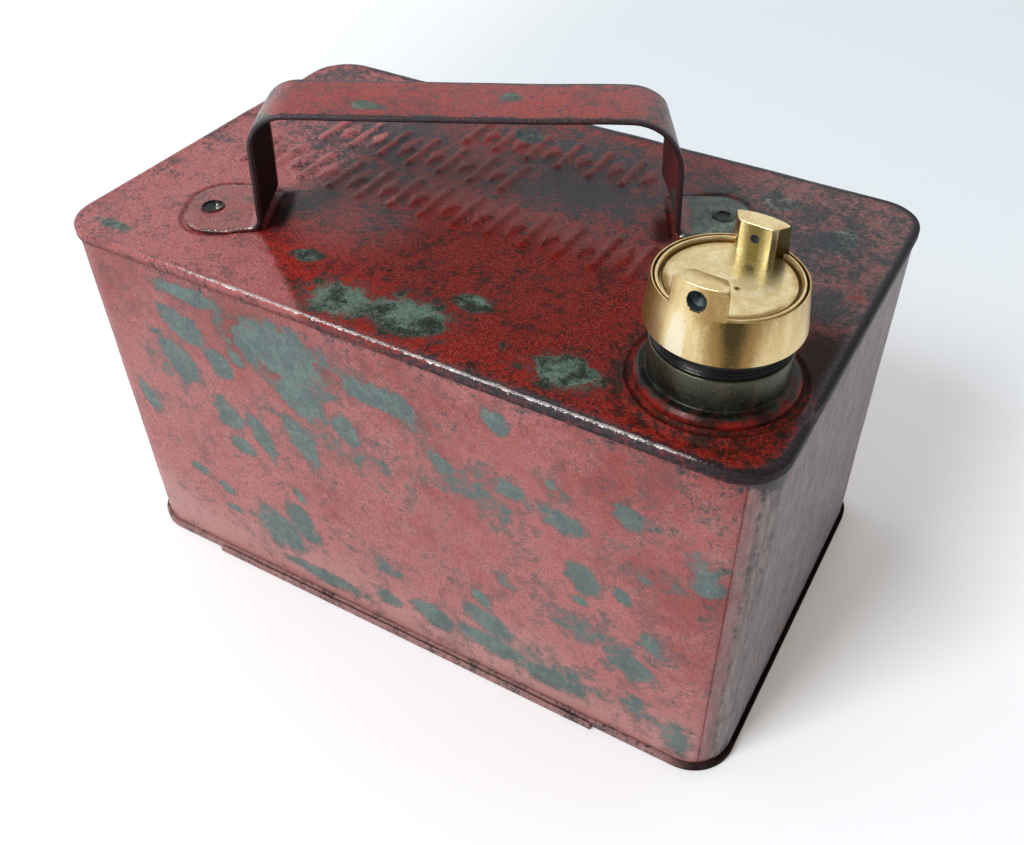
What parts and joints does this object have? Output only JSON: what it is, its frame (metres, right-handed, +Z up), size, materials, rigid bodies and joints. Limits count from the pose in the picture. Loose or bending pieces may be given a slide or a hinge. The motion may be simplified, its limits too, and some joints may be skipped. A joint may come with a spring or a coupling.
{
  "type": "fuel can",
  "caption": "Rectangular soldered steel fuel can with rounded corners, a diagonal riveted strap handle and a brass screw cap with lugs on a flanged neck.",
  "frame": {"origin": "centre of the can's outline on the ground plane, under its base", "axes": "+Z up; +X along the long side towards the filler neck; the long face nearer the neck looks to -Y"},
  "size_m": [0.3064, 0.1894, 0.2209],
  "materials": {
    "wall_paint": "worn red paint",
    "top_paint": "worn red paint",
    "base_paint": "worn red paint",
    "handle_paint": "glossy worn red paint",
    "rivet_steel": "dull",
    "inner_steel": "dull tinned",
    "neck_steel": "tarnished",
    "ring_brass": "tarnished",
    "seal_rubber": "glossy black",
    "cap_brass": "polished"
  },
  "bodies": {
    "can": {"body_wrapper": "wall_paint", "top_panel": "top_paint", "bottom_panel": "base_paint", "handle_strap": "handle_paint", "handle_rivet_left": "rivet_steel", "handle_rivet_right": "rivet_steel", "rivet_plate_left": "inner_steel", "rivet_plate_right": "inner_steel", "neck_collar": "neck_steel", "neck_thread_ring": "ring_brass"},
    "seal": {"cap_seal": "seal_rubber"},
    "cap": {"filler_cap": "cap_brass"}
  },
  "joints": [
    {"name": "cap_lift", "type": "slide", "parent": "can", "child": "seal", "axis": [0, 0, 1], "range_m": [0, 0.01588]},
    {"name": "cap_turn", "type": "hinge", "parent": "seal", "child": "cap", "pos_m": [0.1167, -0.0518, 0.1982], "axis": [0, 0, 1], "range_deg": [0, 1800]}
  ],
  "couplings": [
    {"joint": "cap_lift", "follows": "cap_turn", "m_per_rad": 0.00050532}
  ]
}
